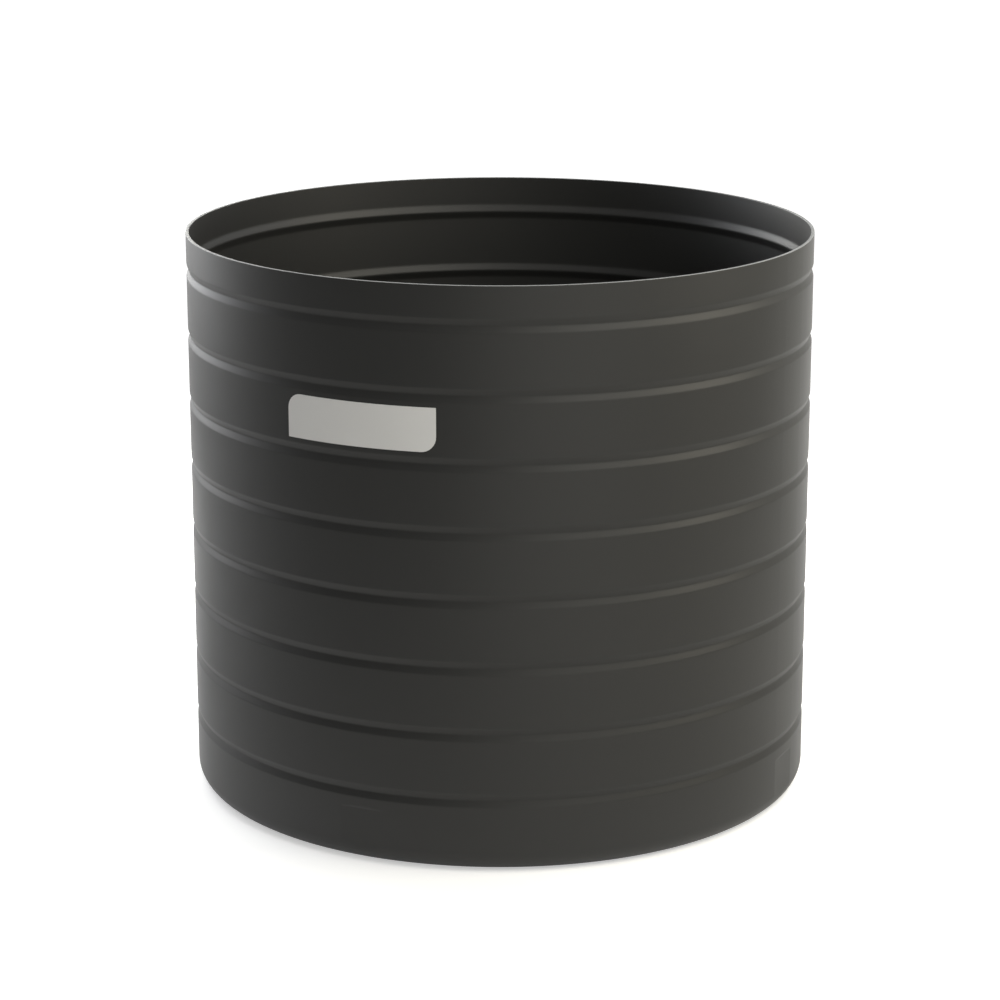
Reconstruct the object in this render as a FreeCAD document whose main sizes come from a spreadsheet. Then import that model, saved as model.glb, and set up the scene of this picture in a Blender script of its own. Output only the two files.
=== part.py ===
import FreeCAD, Part
import Sketcher
import os

# Open-top tank of rotationally moulded polyethylene, upright on a flat base.
#
# The real tank is one seamless moulding: a plain cylinder whose wall is creased inwards all
# round in a row of V grooves, with a rounded bottom corner, a flat floor and a rim that is cut
# square. Four small flats are pressed into the bottom band, a quarter turn apart, where an
# outlet can be drilled. A bare label plate is curved round the front, above one of them.
#
# The wall is parted into upright segments here. The floor is a disc inside them, and the start
# of the rounded corner is its edge.
# Millimetres, +Z up, origin at the centre of the underside. The label faces -Y.

PARTS_FOLDER = "parts"

# Driving sizes, in millimetres and counts.
SIZES = {
    # the moulding
    "outer_radius": 950,
    "wall_thickness": 10,
    "corner_radius": 55,
    # the row of grooves, from the lowest one up, and the plain band over the top one
    "first_groove_height": 218,
    "groove_pitch": 198,
    "groove_count": 8,
    "groove_half_width": 20,
    "groove_depth": 8,
    "top_band": 113,
    # the flats for outlets
    "flat_count": 4,
    "flat_width": 136,
    "flat_to_groove": 27,
    "flat_ledge": 8,
    # the label plate, half a pitch above the topmost of the grooves that lie under it
    "label_width": 469,
    "label_height": 128,
    "label_corner_radius": 44,
    "label_thickness": 1.5,
    "label_groove_count": 6,
    # how many pieces the wall is parted into
    "segment_count": 24,
    # how far a cutting tool reaches past the skin that it cuts
    "overrun": 6,
}

# Sizes that follow from the driving ones, as expressions on the sheet.
TANK_HEIGHT = (
    "(sizes.first_groove_height"
    " + sizes.groove_pitch * (sizes.groove_count - 1) + sizes.top_band)"
)
# The face of a flat is a chord of the tank, as wide as the flat.
FLAT_OFFSET = "sqrt(sizes.outer_radius ^ 2 - (sizes.flat_width / 2) ^ 2)"
FLAT_TOP = "(sizes.first_groove_height - sizes.groove_half_width - sizes.flat_to_groove)"
LEDGE_SLOPE = "(sizes.flat_ledge / (sizes.outer_radius - %s))" % FLAT_OFFSET
# One wall thickness square to a groove's slope is this much longer along the radius.
SLOPE_STRETCH = "sqrt(1 + (sizes.groove_depth / sizes.groove_half_width) ^ 2)"
GROOVE_SLOPE = "(sizes.groove_half_width / sizes.groove_depth)"
SEGMENT_ANGLE = "(360deg / sizes.segment_count)"
LABEL_ANGLE = "(180deg / pi * sizes.label_width / sizes.outer_radius)"
LABEL_MIDDLE = (
    "(sizes.first_groove_height + sizes.groove_pitch * (sizes.label_groove_count - 0.5))"
)

doc = FreeCAD.newDocument("open_top_tank")


def make_sheet(sizes):
    """The spreadsheet that every other object takes its sizes from."""
    table = doc.addObject("Spreadsheet::Sheet", "sizes")
    for row, (alias, value) in enumerate(sizes.items(), start=1):
        table.set("A%d" % row, alias.replace("_", " "))
        table.set("B%d" % row, str(value))
        table.setAlias("B%d" % row, alias)
    doc.recompute()


def groove_root(inset):
    """How far from the axis a groove bottoms out, on a skin inset inside the outer one."""
    return "(sizes.outer_radius - sizes.groove_depth - %s * %s)" % (inset, SLOPE_STRETCH)


def turned(angle):
    """Placement turned about the tank's axis."""
    return "placement(vector(0; 0; 0); rotation(vector(0; 0; 1); %s))" % angle


def outline_sketch(body, role, name, corners):
    """A closed outline of straight edges on one of the body's own origin planes.

    Each corner is a name and two expressions: how far across and how far up it lies.
    """
    plane = next(item for item in body.Origin.OriginFeatures if item.Role == role)
    sketch = body.newObject("Sketcher::SketchObject", name)
    sketch.AttachmentSupport = [(plane, "")]
    sketch.MapMode = "FlatFace"

    # any loop of distinct points will do to start from, because every corner is held below
    loop = [FreeCAD.Vector(10 + index, 10 + index * index, 0) for index in range(len(corners))]
    for start, end in zip(loop, loop[1:] + loop[:1]):
        sketch.addGeometry(Part.LineSegment(start, end), False)
    for edge in range(len(corners)):
        following = (edge + 1) % len(corners)
        sketch.addConstraint(Sketcher.Constraint("Coincident", edge, 2, following, 1))

    for edge, (corner, across, up) in enumerate(corners):
        for kind, place, distance in (
            ("DistanceX", loop[edge].x, across),
            ("DistanceY", loop[edge].y, up),
        ):
            held = sketch.addConstraint(Sketcher.Constraint(kind, -1, 1, edge, 1, place))
            label = "%s_%s" % (corner, kind[-1])
            sketch.renameConstraint(held, label)
            sketch.setExpression("Constraints." + label, distance)
    return sketch


def round_edge(body, base, name, middle_height, radius):
    """Fillet on the ring edges of the base feature that lie at one height."""
    doc.recompute()
    rings = [
        "Edge%d" % number
        for number, edge in enumerate(base.Shape.Edges, start=1)
        if isinstance(edge.Curve, Part.Circle)
        and abs(edge.BoundBox.ZMin - middle_height) < 0.001
        and abs(edge.BoundBox.ZMax - middle_height) < 0.001
    ]
    rounded = body.newObject("PartDesign::Fillet", name)
    rounded.Base = (base, rings)
    rounded.setExpression("Radius", radius)
    return rounded


def moulded_form(name, inset, top):
    """The moulding as a solid, its skin lying inset inside the tank's outer one."""
    body = doc.addObject("PartDesign::Body", name)
    skin = "(sizes.outer_radius - %s)" % inset
    beyond = "(%s + sizes.overrun)" % skin

    section = outline_sketch(
        body,
        "XZ_Plane",
        name + "_section",
        [
            ("low_middle", "0", inset),
            ("low_edge", skin, inset),
            ("high_edge", skin, top),
            ("high_middle", "0", top),
        ],
    )
    plain = body.newObject("PartDesign::Revolution", name + "_plain")
    plain.Profile = section
    plain.ReferenceAxis = (section, ["V_Axis"])
    plain.Angle = 360
    doc.recompute()
    low = plain.Shape.BoundBox.ZMin
    round_edge(body, plain, name + "_corner", low, "sizes.corner_radius - %s" % inset)

    # the slopes run on straight past the skin, so the tool cuts it cleanly
    root = groove_root(inset)
    rise = "(%s - %s) * %s" % (beyond, root, GROOVE_SLOPE)
    tool = outline_sketch(
        body,
        "XZ_Plane",
        name + "_groove_section",
        [
            ("root", root, "sizes.first_groove_height"),
            ("mouth_low", beyond, "sizes.first_groove_height - %s" % rise),
            ("mouth_high", beyond, "sizes.first_groove_height + %s" % rise),
        ],
    )
    groove = body.newObject("PartDesign::Groove", name + "_groove")
    groove.Profile = tool
    groove.ReferenceAxis = (tool, ["V_Axis"])
    groove.Angle = 360
    rows = body.newObject("PartDesign::LinearPattern", name + "_grooves")
    rows.Originals = [groove]
    rows.Direction = (tool, ["V_Axis"])
    rows.setExpression("Length", "sizes.groove_pitch * (sizes.groove_count - 1)")
    rows.setExpression("Occurrences", "sizes.groove_count")
    body.Tip = rows

    # a flat face with a short ledge over it that slopes out to meet the round wall
    face = "(%s - %s)" % (FLAT_OFFSET, inset)
    ledge_start = "(%s - sizes.flat_ledge)" % FLAT_TOP
    ledge_end = "%s + (%s - %s) * %s" % (ledge_start, beyond, face, LEDGE_SLOPE)
    tool = outline_sketch(
        body,
        "YZ_Plane",
        name + "_flat_section",
        [
            ("face_low", face, "-sizes.overrun"),
            ("face_high", face, ledge_start),
            ("ledge_high", beyond, ledge_end),
            ("beyond_low", beyond, "-sizes.overrun"),
        ],
    )
    flat = body.newObject("PartDesign::Pocket", name + "_flat")
    flat.Profile = tool
    flat.SideType = "Symmetric"
    flat.setExpression("Length", "2 * sizes.flat_width")
    quarters = body.newObject("PartDesign::PolarPattern", name + "_flats")
    quarters.Originals = [flat]
    quarters.Axis = (tool, ["V_Axis"])
    quarters.Angle = 360
    quarters.setExpression("Occurrences", "sizes.flat_count")
    body.Tip = quarters
    return body


def make_moulding():
    """The whole tank wall and floor as one shell: the outer form less the hollow."""
    outer = moulded_form("outer_form", "0", TANK_HEIGHT)
    hollow = moulded_form("hollow_form", "sizes.wall_thickness", TANK_HEIGHT + " + sizes.overrun")
    shell = doc.addObject("Part::Cut", "moulding")
    shell.Base = outer
    shell.Tool = hollow
    return shell


def make_floor_reach():
    """What the floor takes of the moulding: out to where the ridges above it reach in."""
    reach = doc.addObject("Part::Cylinder", "floor_reach")
    reach.setExpression("Radius", groove_root("sizes.wall_thickness") + " * 1mm")
    reach.setExpression("Height", "sizes.corner_radius * 1mm")
    return reach


def make_floor(shell, reach):
    """The floor, as thick as the wall, its edge turned up a little by the rounded corner."""
    floor = doc.addObject("Part::Common", "floor")
    floor.Label = "floor"
    floor.Base = shell
    floor.Tool = reach
    return floor


def make_wall_segments(shell, reach):
    """The wall with the rest of its rounded corner, parted into equal upright segments."""
    wall = doc.addObject("Part::Cut", "wall")
    wall.Base = shell
    wall.Tool = reach
    segments = []
    for index in range(int(SIZES["segment_count"])):
        wedge = doc.addObject("Part::Cylinder", "wedge_%02d" % (index + 1))
        wedge.setExpression("Radius", "(sizes.outer_radius + sizes.overrun) * 1mm")
        wedge.setExpression("Height", TANK_HEIGHT + " * 1mm")
        wedge.setExpression("Angle", SEGMENT_ANGLE)
        wedge.setExpression("Placement", turned("-90deg + (%d - 0.5) * %s" % (index, SEGMENT_ANGLE)))
        segment = doc.addObject("Part::Common", "wall_segment_%02d" % (index + 1))
        segment.Label = segment.Name
        segment.Base = wall
        segment.Tool = wedge
        segments.append(segment)
    return segments


def make_label_plate():
    """Thin bare plate curved round the front, with two opposite corners rounded."""
    body = doc.addObject("PartDesign::Body", "label_plate")
    body.Label = "label_plate"
    low = LABEL_MIDDLE + " - sizes.label_height / 2"
    high = LABEL_MIDDLE + " + sizes.label_height / 2"
    outside = "sizes.outer_radius + sizes.label_thickness"
    section = outline_sketch(
        body,
        "XZ_Plane",
        "label_section",
        [
            ("low_back", "sizes.outer_radius", low),
            ("low_front", outside, low),
            ("high_front", outside, high),
            ("high_back", "sizes.outer_radius", high),
        ],
    )
    strip = body.newObject("PartDesign::Revolution", "label_strip")
    strip.Profile = section
    strip.ReferenceAxis = (section, ["V_Axis"])
    strip.Midplane = True
    strip.setExpression("Angle", LABEL_ANGLE)
    doc.recompute()

    # the short edges through the plate at its upper left and lower right corners
    box = strip.Shape.BoundBox
    rounded = []
    for number, edge in enumerate(strip.Shape.Edges, start=1):
        middle = edge.CenterOfMass
        is_through = isinstance(edge.Curve, Part.Line) and edge.BoundBox.ZLength < 0.001
        upper_left = middle.z > box.Center.z and middle.y < 0
        lower_right = middle.z < box.Center.z and middle.y > 0
        if is_through and (upper_left or lower_right):
            rounded.append("Edge%d" % number)
    corners = body.newObject("PartDesign::Fillet", "label_corners")
    corners.Base = (strip, rounded)
    corners.setExpression("Radius", "sizes.label_corner_radius")
    body.setExpression("Placement", turned("-90deg"))
    return body


def check(pieces):
    """Stop before anything is written if an object failed or a piece isn't sound."""
    doc.recompute()
    for item in doc.Objects:
        if "Invalid" in item.State or "Error" in item.State:
            raise RuntimeError("%s failed: %s" % (item.Name, item.State))
    for piece in pieces:
        shape = piece.Shape
        if shape.isNull() or not shape.isValid() or len(shape.Solids) != 1:
            raise RuntimeError("%s isn't one valid solid" % piece.Label)


make_sheet(SIZES)
moulding = make_moulding()
floor_reach = make_floor_reach()
pieces = make_wall_segments(moulding, floor_reach)
pieces += [make_floor(moulding, floor_reach), make_label_plate()]
check(pieces)

os.makedirs(PARTS_FOLDER, exist_ok=True)
for piece in pieces:
    piece.Shape.exportStep(os.path.join(PARTS_FOLDER, piece.Label + ".step"))
    print("%s: %.1f cm3" % (piece.Label, piece.Shape.Volume / 1000))
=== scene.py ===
import bmesh
import bpy
import math
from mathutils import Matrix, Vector


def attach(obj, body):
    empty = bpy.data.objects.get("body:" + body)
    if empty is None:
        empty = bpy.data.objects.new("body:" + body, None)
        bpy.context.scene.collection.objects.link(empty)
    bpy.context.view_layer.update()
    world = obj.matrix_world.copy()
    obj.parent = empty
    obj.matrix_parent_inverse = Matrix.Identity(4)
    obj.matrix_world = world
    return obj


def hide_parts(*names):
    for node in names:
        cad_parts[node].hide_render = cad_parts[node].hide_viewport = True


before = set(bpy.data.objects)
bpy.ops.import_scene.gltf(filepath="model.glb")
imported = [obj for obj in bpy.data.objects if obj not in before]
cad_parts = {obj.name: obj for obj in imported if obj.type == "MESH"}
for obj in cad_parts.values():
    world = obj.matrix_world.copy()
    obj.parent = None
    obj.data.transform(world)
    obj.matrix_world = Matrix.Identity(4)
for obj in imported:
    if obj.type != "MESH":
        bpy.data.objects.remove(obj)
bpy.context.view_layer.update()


# The moulding: one seamless shell of black polyethylene, cast by rolling powder round the inside
# of a hot steel mould. Its wall is creased inwards in eight V grooves that stiffen it, its bottom
# corner is rounded, and four flats are pressed into the bottom band for drilling outlets.

OUTER_RADIUS = 0.950
WALL = 0.010
CORNER_RADIUS = 0.055
FIRST_GROOVE = 0.218
GROOVE_PITCH = 0.198
GROOVE_COUNT = 8
GROOVE_HALF_WIDTH = 0.020
GROOVE_DEPTH = 0.008
TOP_BAND = 0.113
TANK_HEIGHT = FIRST_GROOVE + GROOVE_PITCH * (GROOVE_COUNT - 1) + TOP_BAND
FLAT_COUNT = 4
FLAT_HALF_WIDTH = 0.068
FLAT_OFFSET = math.sqrt(OUTER_RADIUS ** 2 - FLAT_HALF_WIDTH ** 2)
FLAT_TOP = FIRST_GROOVE - GROOVE_HALF_WIDTH - 0.027
FLAT_LEDGE = 0.008

# How the mould's bends are eased, and the small radius that the saw and scraper leave on the rim.
GROOVE_LIP_EASE = 0.001
GROOVE_ROOT_EASE = 0.005
FLAT_EASE = 0.0003
RIM_EASE = 0.0012


class Field:
    """A number on a socket of a node tree, so that a formula in nodes reads as a formula."""

    def __init__(self, tree, socket):
        self.tree = tree
        self.socket = socket

    def math(self, operation, *others):
        node = self.tree.nodes.new("ShaderNodeMath")
        node.operation = operation
        for slot, value in zip(node.inputs, (self,) + others):
            join(self.tree, value, slot)
        return Field(self.tree, node.outputs[0])

    def __add__(self, other):
        return self.math("ADD", other)

    def __sub__(self, other):
        return self.math("SUBTRACT", other)

    def __mul__(self, other):
        return self.math("MULTIPLY", other)

    def __truediv__(self, other):
        return self.math("DIVIDE", other)


def join(tree, value, slot):
    """Feeds a node's input from a Field, from another socket or with a plain value."""
    if isinstance(value, Field):
        value = value.socket
    if isinstance(value, bpy.types.NodeSocket):
        tree.links.new(value, slot)
    else:
        slot.default_value = value


def add(tree, kind, settings=None, **inputs):
    """A new node, its properties set from settings and its inputs joined by name."""
    node = tree.nodes.new(kind)
    for name, value in (settings or {}).items():
        setattr(node, name, value)
    for name, value in inputs.items():
        join(tree, value, node.inputs[name.replace("_", " ")])
    return node


def constant(tree, number):
    """A plain number as a Field, to start a formula from."""
    node = tree.nodes.new("ShaderNodeValue")
    node.outputs[0].default_value = number
    return Field(tree, node.outputs[0])


def pick(tree, is_second, first, second):
    """The second number where the test holds, and the first elsewhere."""
    node = tree.nodes.new("GeometryNodeSwitch")
    node.input_type = "FLOAT"
    join(tree, is_second, node.inputs["Switch"])
    join(tree, first, node.inputs["False"])
    join(tree, second, node.inputs["True"])
    return Field(tree, node.outputs["Output"])


def stepped(tree, number, stops):
    """Straight runs through (number, result) stops, level before the first and after the last."""
    total = constant(tree, stops[0][1])
    for (start, low), (end, high) in zip(stops, stops[1:]):
        run = add(tree, "ShaderNodeMapRange")
        for slot, value in zip(run.inputs, (number, start, end, 0.0, high - low)):
            join(tree, value, slot)
        total = total + Field(tree, run.outputs[0])
    return total


# Columns in half a sector, from the middle of a flat, and how they close up at its edge.
FLAT_COLUMNS = 3
EDGE_COLUMNS = 4
PLAIN_COLUMNS = 20
HALF_COLUMNS = FLAT_COLUMNS + EDGE_COLUMNS + PLAIN_COLUMNS
FLAT_HALF_ANGLE = math.asin(FLAT_HALF_WIDTH / OUTER_RADIUS)
EDGE_HALF_ANGLE = math.radians(0.3)
SECTOR_HALF_ANGLE = math.pi / FLAT_COUNT

tree = bpy.data.node_groups.new("moulded_tank_shell", "GeometryNodeTree")
sizes = {
    "Outer Radius": OUTER_RADIUS,
    "Wall": WALL,
    "Corner Radius": CORNER_RADIUS,
    "First Groove": FIRST_GROOVE,
    "Groove Pitch": GROOVE_PITCH,
    "Groove Half Width": GROOVE_HALF_WIDTH,
    "Groove Depth": GROOVE_DEPTH,
    "Height": TANK_HEIGHT,
    "Flat Offset": FLAT_OFFSET,
    "Flat Top": FLAT_TOP,
    "Flat Ledge": FLAT_LEDGE,
}
for name in sizes:
    tree.interface.new_socket(name, in_out="INPUT", socket_type="NodeSocketFloat")
tree.interface.new_socket("Material", in_out="INPUT", socket_type="NodeSocketMaterial")
tree.interface.new_socket("Geometry", in_out="OUTPUT", socket_type="NodeSocketGeometry")
given = tree.nodes.new("NodeGroupInput")
size = {name: Field(tree, given.outputs[name]) for name in sizes}


def turned_grid(rows, profile):
    """A grid bent round the axis, its rows set by the profile, its columns closing up at the flats.

    The profile takes the row number and gives a radius, a height and how far inside the outer
    skin the surface lies, which is also how far inside it the flats lie.
    """
    columns = 2 * HALF_COLUMNS * FLAT_COUNT
    grid = add(tree, "GeometryNodeMeshGrid")
    for slot, value in zip(grid.inputs, (1.0, 1.0, columns + 1, rows)):
        slot.default_value = value
    position = add(tree, "GeometryNodeInputPosition").outputs["Position"]
    place = add(tree, "ShaderNodeSeparateXYZ", Vector=position)
    column = ((Field(tree, place.outputs["X"]) + 0.5) * columns).math("ROUND")
    row = ((Field(tree, place.outputs["Y"]) + 0.5) * (rows - 1)).math("ROUND")

    sector = (column / (2 * HALF_COLUMNS)).math("ROUND")
    across = column - sector * (2 * HALF_COLUMNS)
    from_flat = stepped(
        tree,
        across.math("ABSOLUTE"),
        [
            (0, 0.0),
            (FLAT_COLUMNS, FLAT_HALF_ANGLE - EDGE_HALF_ANGLE),
            (FLAT_COLUMNS + EDGE_COLUMNS, FLAT_HALF_ANGLE + EDGE_HALF_ANGLE),
            (HALF_COLUMNS, SECTOR_HALF_ANGLE),
        ],
    )
    angle = sector * (2 * SECTOR_HALF_ANGLE) + across.math("SIGN") * from_flat

    radius, height, inset = profile(row)
    above_ledge = (height - (size["Flat Top"] - size["Flat Ledge"])).math("MAXIMUM", 0.0)
    ledge_slope = (size["Outer Radius"] - size["Flat Offset"]) / size["Flat Ledge"]
    face = size["Flat Offset"] - inset + above_ledge * ledge_slope
    radius = radius.math("SMOOTH_MIN", face / from_flat.math("COSINE"), FLAT_EASE)

    point = add(
        tree,
        "ShaderNodeCombineXYZ",
        X=radius * angle.math("SINE"),
        Y=radius * angle.math("COSINE") * -1.0,
        Z=height,
    )
    placed = add(tree, "GeometryNodeSetPosition", Geometry=grid.outputs["Mesh"])
    join(tree, point.outputs[0], placed.inputs["Position"])
    return placed.outputs["Geometry"]


FLOOR_ROWS = 5
CORNER_ROWS = 11
LEDGE_ROWS = 12
LEDGE_MARGIN = 0.003
GROOVE_MARGIN = 0.006
RIM_SUPPORT = 0.003


def skin_profile(inset, rows_in_groove):
    """One face of the shell, from the middle of the floor up to the rim, and its number of rows."""
    corner_start = FLOOR_ROWS
    ledge_start = corner_start + CORNER_ROWS
    groove_start = ledge_start + LEDGE_ROWS
    top_start = groove_start + GROOVE_COUNT * rows_in_groove
    rows = top_start + 2

    def profile(row):
        inner = size["Outer Radius"] - size["Corner Radius"]
        turn = size["Corner Radius"] - inset
        skin = size["Outer Radius"] - inset

        floor_radius = inner * row / corner_start
        bend = (row - corner_start) * (math.pi / 2 / (CORNER_ROWS - 1))
        corner_radius = inner + turn * bend.math("SINE")
        corner_height = size["Corner Radius"] - turn * bend.math("COSINE")
        ledge_low = size["Flat Top"] - size["Flat Ledge"] - LEDGE_MARGIN
        ledge_span = size["Flat Ledge"] + 2 * LEDGE_MARGIN
        ledge_height = ledge_low + ledge_span * (row - ledge_start) / (LEDGE_ROWS - 1)

        # a crease keeps the wall's thickness, so on the inside it is a little wider and deeper
        slope = size["Groove Depth"] / size["Groove Half Width"]
        stretch = (slope * slope + 1.0).math("SQRT") - 1.0
        depth = size["Groove Depth"] + stretch * inset
        half_span = depth / slope + GROOVE_MARGIN
        number = ((row - groove_start) / rows_in_groove).math("FLOOR")
        within = row - groove_start - number * rows_in_groove
        offset = (within * (2.0 / (rows_in_groove - 1)) - 1.0) * half_span
        groove_height = size["First Groove"] + number * size["Groove Pitch"] + offset
        from_root = offset.math("SMOOTH_MAX", offset * -1.0, GROOVE_ROOT_EASE)
        crease = (depth - from_root * slope).math("SMOOTH_MAX", 0.0, GROOVE_LIP_EASE)
        groove_radius = skin - crease
        top_height = size["Height"] - RIM_EASE - RIM_SUPPORT + (row - top_start) * RIM_SUPPORT

        radius = floor_radius
        height = constant(tree, 0.0) + inset
        for start, next_radius, next_height in (
            (corner_start, corner_radius, corner_height),
            (ledge_start, skin, ledge_height),
            (groove_start, groove_radius, groove_height),
            (top_start, skin, top_height),
        ):
            has_begun = row.math("GREATER_THAN", start - 0.5)
            radius = pick(tree, has_begun, radius, next_radius)
            height = pick(tree, has_begun, height, next_height)
        return radius, height, inset

    return rows, profile


RIM_BEND_ROWS = 4
OUTER_ROWS_IN_GROOVE = 21
INNER_ROWS_IN_GROOVE = 15
MERGE_DISTANCE = 0.00002


def rim_profile(row):
    """The cut edge, over from the outer skin to the inner one, with both arrises eased."""
    is_inner = row.math("GREATER_THAN", RIM_BEND_ROWS - 0.5)
    from_end = pick(tree, is_inner, row, constant(tree, 2 * RIM_BEND_ROWS - 1) - row)
    bend = from_end * (math.pi / 2 / (RIM_BEND_ROWS - 1))
    inwards = (constant(tree, 1.0) - bend.math("COSINE")) * RIM_EASE
    outer = size["Outer Radius"] - inwards
    inner = size["Outer Radius"] - size["Wall"] + inwards
    height = size["Height"] - RIM_EASE + bend.math("SINE") * RIM_EASE
    return pick(tree, is_inner, outer, inner), height, constant(tree, 0.0)


outer_skin = turned_grid(*skin_profile(constant(tree, 0.0), OUTER_ROWS_IN_GROOVE))
inner_skin = turned_grid(*skin_profile(size["Wall"], INNER_ROWS_IN_GROOVE))
rim = turned_grid(2 * RIM_BEND_ROWS, rim_profile)

parts = tree.nodes.new("GeometryNodeJoinGeometry")
inner_turned = add(tree, "GeometryNodeFlipFaces", Mesh=inner_skin)
for surface in (outer_skin, inner_turned.outputs["Mesh"], rim):
    tree.links.new(surface, parts.inputs[0])
closed = add(
    tree,
    "GeometryNodeMergeByDistance",
    Geometry=parts.outputs[0],
    Distance=MERGE_DISTANCE,
)
smooth = add(tree, "GeometryNodeSetShadeSmooth", Geometry=closed.outputs[0])
real = add(tree, "GeometryNodeRealizeInstances", Geometry=smooth.outputs[0])
coated = add(
    tree,
    "GeometryNodeSetMaterial",
    Geometry=real.outputs[0],
    Material=given.outputs["Material"],
)
tree.links.new(coated.outputs[0], tree.nodes.new("NodeGroupOutput").inputs[0])


def shader_tree(name, inputs, outputs):
    """A shader node group with number inputs and the given outputs, and its two end nodes."""
    group = bpy.data.node_groups.new(name, "ShaderNodeTree")
    for label, value in inputs.items():
        socket = group.interface.new_socket(label, in_out="INPUT", socket_type="NodeSocketFloat")
        socket.default_value = value
    for label in outputs:
        group.interface.new_socket(label, in_out="OUTPUT", socket_type="NodeSocketFloat")
    return group, group.nodes.new("NodeGroupInput"), group.nodes.new("NodeGroupOutput")


def mottled_noise(group, scale, detail):
    """Noise over the object's own coordinates, from 0 to 1."""
    place = add(group, "ShaderNodeTexCoord").outputs["Object"]
    noise = add(group, "ShaderNodeTexNoise", Vector=place, Detail=detail)
    join(group, scale, noise.inputs["Scale"])
    return Field(group, noise.outputs["Fac"])


# Moulded skin: the slight unevenness of cast polyethylene, used by the wall and the label alike.
skin_group, skin_in, skin_out = shader_tree(
    "moulded_skin",
    {"Peel Scale": 60.0, "Cloud Scale": 1.5},
    ["Height", "Cloud"],
)
peel = mottled_noise(skin_group, skin_in.outputs["Peel Scale"], 3.0)
cloud = mottled_noise(skin_group, skin_in.outputs["Cloud Scale"], 4.0)
join(skin_group, peel, skin_out.inputs["Height"])
join(skin_group, cloud, skin_out.inputs["Cloud"])


def place_group(material_tree, group, **values):
    """An effect's group node in a material, with the values that this material gives it."""
    node = material_tree.nodes.new("ShaderNodeGroup")
    node.node_tree = group
    for name, value in values.items():
        join(material_tree, value, node.inputs[name.replace("_", " ")])
    return node


def new_material(name):
    """An empty material with its Principled shader."""
    material = bpy.data.materials.new(name)
    material.use_nodes = True
    shader = material.node_tree.nodes["Principled BSDF"]
    return material, material.node_tree, shader


def colour_between(material_tree, factor, low, high):
    """A colour that goes from low to high with the factor."""
    mix = material_tree.nodes.new("ShaderNodeMix")
    mix.data_type = "RGBA"
    join(material_tree, factor, mix.inputs["Factor"])
    mix.inputs["A"].default_value = (*low, 1.0)
    mix.inputs["B"].default_value = (*high, 1.0)
    return mix.outputs["Result"]


DARK_POLYETHYLENE = (0.016, 0.016, 0.0155)
LIGHT_POLYETHYLENE = (0.020, 0.020, 0.0190)
# pale grey painted on the rim's top face, a painted highlight for the bright line where it catches
# the light
RIM_TOP_PAINTED_HIGHLIGHT = (0.29, 0.30, 0.31, 1.0)
BASE_ROUGHNESS = 0.45
ROUGHNESS_SPREAD = 0.10
CUT_EDGE_EXTRA_ROUGHNESS = 0.10
PLASTIC_IOR = 1.5
PEEL_STRENGTH = 0.12
PEEL_DEPTH = 0.001

poly, nodes, shader = new_material("satin_black_polyethylene")
skin = place_group(nodes, skin_group, Peel_Scale=55.0, Cloud_Scale=1.3)
mottle = skin.outputs["Cloud"]
body_colour = colour_between(nodes, mottle, DARK_POLYETHYLENE, LIGHT_POLYETHYLENE)
here = add(nodes, "ShaderNodeTexCoord").outputs["Object"]
height_here = Field(nodes, add(nodes, "ShaderNodeSeparateXYZ", Vector=here).outputs["Z"])
# The rim's top face is painted pale grey, a painted highlight for the bright line where it catches
# the light; its extra roughness is the sawn and scraped cut finish.
is_rim = height_here.math("GREATER_THAN", TANK_HEIGHT - 0.5 * RIM_EASE)
cut = nodes.nodes.new("ShaderNodeMix")
cut.data_type = "RGBA"
join(nodes, is_rim, cut.inputs["Factor"])
join(nodes, body_colour, cut.inputs["A"])
cut.inputs["B"].default_value = RIM_TOP_PAINTED_HIGHLIGHT
join(nodes, cut.outputs["Result"], shader.inputs["Base Color"])
roughness = (
    Field(nodes, mottle) * ROUGHNESS_SPREAD + BASE_ROUGHNESS + is_rim * CUT_EDGE_EXTRA_ROUGHNESS
)
join(nodes, roughness, shader.inputs["Roughness"])
bump = add(
    nodes,
    "ShaderNodeBump",
    Strength=PEEL_STRENGTH,
    Distance=PEEL_DEPTH,
    Height=skin.outputs["Height"],
)
join(nodes, bump.outputs["Normal"], shader.inputs["Normal"])
shader.inputs["IOR"].default_value = PLASTIC_IOR

blank = bpy.data.meshes.new("tank_moulding_seed")
seed_object = bpy.data.objects.new("tank_moulding_seed", blank)
bpy.context.collection.objects.link(seed_object)
turning = seed_object.modifiers.new("turn", "NODES")
turning.node_group = tree
identifiers = {
    item.name: item.identifier for item in tree.interface.items_tree if item.in_out == "INPUT"
}
for name, value in sizes.items():
    turning[identifiers[name]] = value
turning[identifiers["Material"]] = poly
evaluated = seed_object.evaluated_get(bpy.context.evaluated_depsgraph_get())
moulding = bpy.data.objects.new("tank_moulding", bpy.data.meshes.new_from_object(evaluated))
bpy.data.objects.remove(seed_object)
bpy.context.collection.objects.link(moulding)

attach(moulding, "root")
wall_nodes = sorted(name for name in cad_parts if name.startswith("wall_segment_"))
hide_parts("floor", *wall_nodes)


# The label plate: a thin bare strip of matt white plastic, bonded to the wall between two grooves.
# Its upper left and lower right corners are rounded, and its edges are slightly eased.

LABEL_WIDTH = 0.469
LABEL_HEIGHT = 0.128
LABEL_CORNER = 0.044
LABEL_THICKNESS = 0.00148
LABEL_MIDDLE = FIRST_GROOVE + 5.5 * GROOVE_PITCH
LABEL_BEVEL = 0.0005
LABEL_CORNER_COLUMNS = 8
LABEL_PLAIN_COLUMNS = 28
LABEL_ROWS = 6


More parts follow.
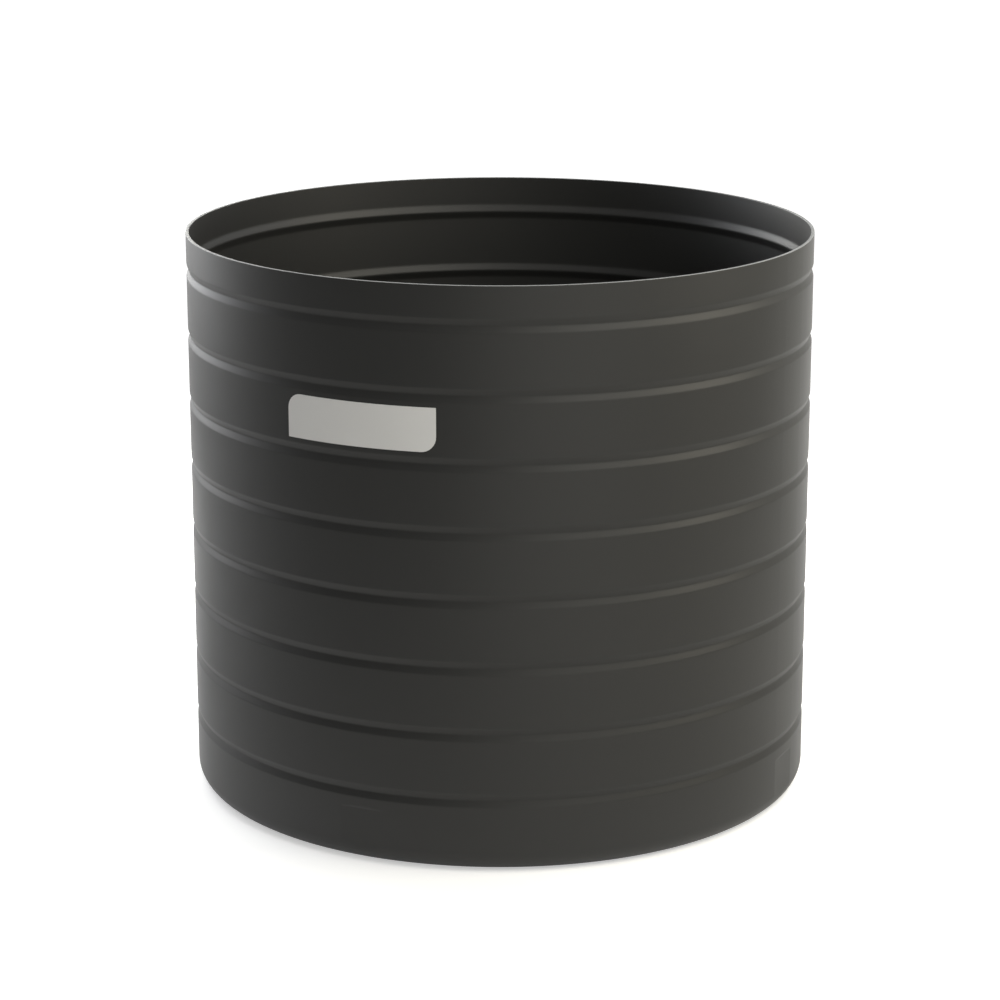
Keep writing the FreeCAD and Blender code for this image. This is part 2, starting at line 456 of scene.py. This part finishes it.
def label_mesh():
    """Front face of the plate, following the wall, before it is given its thickness."""
    sheet = bmesh.new()
    columns = []
    quarter = 0.5 * math.pi / LABEL_CORNER_COLUMNS
    corner = [
        LABEL_CORNER * (1 - math.cos(quarter * step)) for step in range(LABEL_CORNER_COLUMNS)
    ]
    plain = (LABEL_WIDTH - 2 * LABEL_CORNER) / LABEL_PLAIN_COLUMNS
    between = [LABEL_CORNER + plain * step for step in range(LABEL_PLAIN_COLUMNS + 1)]
    for from_left in corner + between + [LABEL_WIDTH - place for place in reversed(corner)]:
        along = from_left - 0.5 * LABEL_WIDTH
        low, high = -0.5 * LABEL_HEIGHT, 0.5 * LABEL_HEIGHT
        into_left = max(0.0, LABEL_CORNER - (along + 0.5 * LABEL_WIDTH))
        into_right = max(0.0, LABEL_CORNER - (0.5 * LABEL_WIDTH - along))
        high -= LABEL_CORNER - math.sqrt(LABEL_CORNER ** 2 - into_left ** 2)
        low += LABEL_CORNER - math.sqrt(LABEL_CORNER ** 2 - into_right ** 2)
        angle = along / OUTER_RADIUS
        columns.append([
            sheet.verts.new((
                OUTER_RADIUS * math.sin(angle),
                -OUTER_RADIUS * math.cos(angle),
                LABEL_MIDDLE + low + (high - low) * row / LABEL_ROWS,
            ))
            for row in range(LABEL_ROWS + 1)
        ])
    for left, right in zip(columns, columns[1:]):
        for row in range(LABEL_ROWS):
            sheet.faces.new((left[row], right[row], right[row + 1], left[row + 1]))
    mesh = bpy.data.meshes.new("label_face")
    sheet.to_mesh(mesh)
    sheet.free()
    return mesh


label = bpy.data.objects.new("label_face", label_mesh())
bpy.context.collection.objects.link(label)
thickness = label.modifiers.new("thickness", "SOLIDIFY")
thickness.thickness = LABEL_THICKNESS
thickness.offset = 1.0
easing = label.modifiers.new("eased_edges", "BEVEL")
easing.width = LABEL_BEVEL
easing.segments = 2
easing.limit_method = "ANGLE"
easing.angle_limit = math.radians(50)

LABEL_DARK_WHITE = (0.69, 0.685, 0.675)
LABEL_LIGHT_WHITE = (0.73, 0.725, 0.715)
LABEL_ROUGHNESS = 0.5
GRAIN_STRENGTH = 0.1
GRAIN_DEPTH = 0.0005

paint, nodes, shader = new_material("matt_white_label")
grain = place_group(nodes, skin_group, Peel_Scale=220.0, Cloud_Scale=6.0)
plate_colour = colour_between(
    nodes, grain.outputs["Cloud"], LABEL_DARK_WHITE, LABEL_LIGHT_WHITE
)
join(nodes, plate_colour, shader.inputs["Base Color"])
shader.inputs["Roughness"].default_value = LABEL_ROUGHNESS
bump = add(
    nodes,
    "ShaderNodeBump",
    Strength=GRAIN_STRENGTH,
    Distance=GRAIN_DEPTH,
    Height=grain.outputs["Height"],
)
join(nodes, bump.outputs["Normal"], shader.inputs["Normal"])
label.data.materials.append(paint)
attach(label, "root")
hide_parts("label_plate")


# The studio: a pale floor that keeps the tank's shadow, a white backdrop, soft lamps, and the
# camera placed so that the tank stands in the frame as it does in the photograph.

CAMERA_AZIMUTH = math.radians(24.9)
CAMERA_ELEVATION = math.radians(15.008)
CAMERA_DISTANCE = 9.498
CAMERA_TARGET = Vector((0.0, 0.0, 0.857))
CAMERA_LENS = 110.085
SENSOR_WIDTH = 36.0
FAR_CLIP = 60.0


def direction(azimuth, elevation):
    """From the tank towards a place round it. Azimuth 0 is the label side, right is positive."""
    return Vector((
        math.sin(azimuth) * math.cos(elevation),
        -math.cos(azimuth) * math.cos(elevation),
        math.sin(elevation),
    ))


camera = bpy.data.objects.new("camera", bpy.data.cameras.new("camera"))
camera.data.lens = CAMERA_LENS
camera.data.sensor_width = SENSOR_WIDTH
camera.data.clip_end = FAR_CLIP
camera.location = CAMERA_TARGET + CAMERA_DISTANCE * direction(CAMERA_AZIMUTH, CAMERA_ELEVATION)
camera.rotation_euler = (CAMERA_TARGET - camera.location).to_track_quat("-Z", "Y").to_euler()
bpy.context.collection.objects.link(camera)
bpy.context.scene.camera = camera


LAMP_HEIGHT = 0.9
COOL_LIGHT = (0.86, 0.90, 1.0)
PLAIN_LIGHT = (1.0, 1.0, 1.0)
SOFT_WARM_LIGHT = (1.0, 0.985, 0.91)
WARM_LIGHT = (1.0, 0.945, 0.80)


def soft_lamp(name, azimuth, elevation, distance, width, height, power, colour):
    """A rectangular softbox that faces the tank, its azimuth in degrees from the camera's."""
    lamp = bpy.data.lights.new(name, "AREA")
    lamp.shape = "RECTANGLE"
    lamp.size = width
    lamp.size_y = height
    lamp.energy = power
    lamp.color = colour
    box = bpy.data.objects.new(name, lamp)
    middle = Vector((0.0, 0.0, LAMP_HEIGHT))
    towards = direction(CAMERA_AZIMUTH + math.radians(azimuth), math.radians(elevation))
    box.location = middle + distance * towards
    box.rotation_euler = (middle - box.location).to_track_quat("-Z", "Y").to_euler()
    box.visible_camera = False
    bpy.context.collection.objects.link(box)


# Low panels that stand round the tank, and windows and softboxes that hang higher. Each has its
# azimuth and elevation in degrees, distance, width and height in metres, power in watts, colour.
soft_lamp("back_panel", 180, 4.3, 4.0, 3.6, 2.4, 40.0, PLAIN_LIGHT)
soft_lamp("front_right_panel", 18, 4.3, 4.0, 3.6, 2.4, 21.6, SOFT_WARM_LIGHT)
soft_lamp("back_right_panel", 137, 4.3, 4.0, 4.4, 2.4, 29.0, SOFT_WARM_LIGHT)
soft_lamp("left_front_window", -85, 12, 4.5, 2.0, 1.8, 5.5, PLAIN_LIGHT)
soft_lamp("left_low_window", -118, 11, 4.5, 2.6, 2.1, 57.0, PLAIN_LIGHT)
soft_lamp("left_high_window", -133, 22, 4.5, 2.6, 1.8, 62.0, COOL_LIGHT)
soft_lamp("back_left_window", -150, 20, 4.5, 2.6, 1.8, 127.0, SOFT_WARM_LIGHT)
soft_lamp("back_right_window", 150, 25, 4.5, 2.6, 1.8, 11.2, PLAIN_LIGHT)
soft_lamp("left_softbox", -40, 64, 4.5, 2.6, 2.6, 21.2, PLAIN_LIGHT)
soft_lamp("right_fill", 32, 42, 4.5, 2.6, 2.6, 57.0, SOFT_WARM_LIGHT)
soft_lamp("right_key", 74, 33, 4.5, 2.6, 4.2, 122.0, WARM_LIGHT)
soft_lamp("right_softbox", 120, 42, 4.5, 2.6, 2.6, 38.2, PLAIN_LIGHT)

REACH = 30.0
FLOOR_GREY = (0.85, 0.85, 0.85, 1.0)

# How far from the axis the floor's glow reaches, in metres, and how strong it is.
FOOT_REACH = 1.7
FOOT_IN_FRONT = 0.32
EDGE_GLOW_STRENGTH = 0.9
LEAST_BEHIND = 0.05
BACKDROP_NEAR = 1.2
BACKDROP_FAR = 3.0
BACKDROP_NEAR_GLOW = 0.45

floor_mesh = bpy.data.meshes.new("studio_floor")
floor_mesh.from_pydata(
    [(-REACH, -REACH, 0.0), (REACH, -REACH, 0.0), (REACH, REACH, 0.0), (-REACH, REACH, 0.0)],
    [],
    [(0, 1, 2, 3)],
)
studio_floor = bpy.data.objects.new("studio_floor", floor_mesh)
bpy.context.collection.objects.link(studio_floor)
floor_paint, nodes, shader = new_material("pale_floor")
shader.inputs["Base Color"].default_value = FLOOR_GREY
shader.inputs["Roughness"].default_value = 0.9
shader.inputs["Specular IOR Level"].default_value = 0.0
ray = add(nodes, "ShaderNodeLightPath")
here = add(nodes, "ShaderNodeTexCoord").outputs["Object"]
place = add(nodes, "ShaderNodeSeparateXYZ", Vector=here)
east = Field(nodes, place.outputs["X"])
north = Field(nodes, place.outputs["Y"])
from_axis = (east * east + north * north).math("SQRT")
behind = north * math.cos(CAMERA_AZIMUTH) - east * math.sin(CAMERA_AZIMUTH)

# a glow painted into the floor round the tank's foot, seen only in reflections: painted reflections
# on the low bands, stronger behind the tank
by_distance = stepped(nodes, from_axis, [(OUTER_RADIUS, 1.0), (FOOT_REACH, 0.0)])
foot = by_distance * stepped(nodes, behind, [(-0.3, FOOT_IN_FRONT), (0.5, 1.0)])

# a glow painted into the floor behind the tank and beside it, seen only in reflections: painted
# reflections along the tank's two edges
across = east * math.cos(CAMERA_AZIMUTH) + north * math.sin(CAMERA_AZIMUTH)
from_edge = (across.math("ABSOLUTE") - OUTER_RADIUS) / behind.math("MAXIMUM", LEAST_BEHIND)
beside_edge = stepped(nodes, from_edge, [(0.35, EDGE_GLOW_STRENGTH), (0.9, 0.0)])
glow_beside_edges = beside_edge * stepped(nodes, behind, [(0.0, 0.0), (0.3, 1.0)])
glow_for_reflections = foot.math("MAXIMUM", glow_beside_edges)

# to the camera the floor fades to the white backdrop away from the tank's shadow
backdrop = stepped(
    nodes, from_axis, [(BACKDROP_NEAR, BACKDROP_NEAR_GLOW), (BACKDROP_FAR, 1.0)]
)
seen_by_camera = Field(nodes, ray.outputs["Is Camera Ray"])
seen_in_gloss = Field(nodes, ray.outputs["Is Glossy Ray"])
# the floor's glow for glossy rays is a painted reflection on the tank, not light that lamps cast
# there
glow = seen_by_camera * backdrop + seen_in_gloss * glow_for_reflections
shader.inputs["Emission Color"].default_value = (1.0, 1.0, 1.0, 1.0)
join(nodes, glow, shader.inputs["Emission Strength"])
floor_mesh.materials.append(floor_paint)

WORLD_LIGHT = 0.13
WORLD_SEEN = 1.0 - WORLD_LIGHT

world = bpy.data.worlds.new("studio_world")
bpy.context.scene.world = world
world.use_nodes = True
nodes = world.node_tree
background = nodes.nodes["Background"]
seen = Field(nodes, add(nodes, "ShaderNodeLightPath").outputs["Is Camera Ray"])
background.inputs["Color"].default_value = (1.0, 1.0, 1.0, 1.0)
join(nodes, seen * WORLD_SEEN + WORLD_LIGHT, background.inputs["Strength"])

bpy.context.scene.view_settings.view_transform = "Standard"
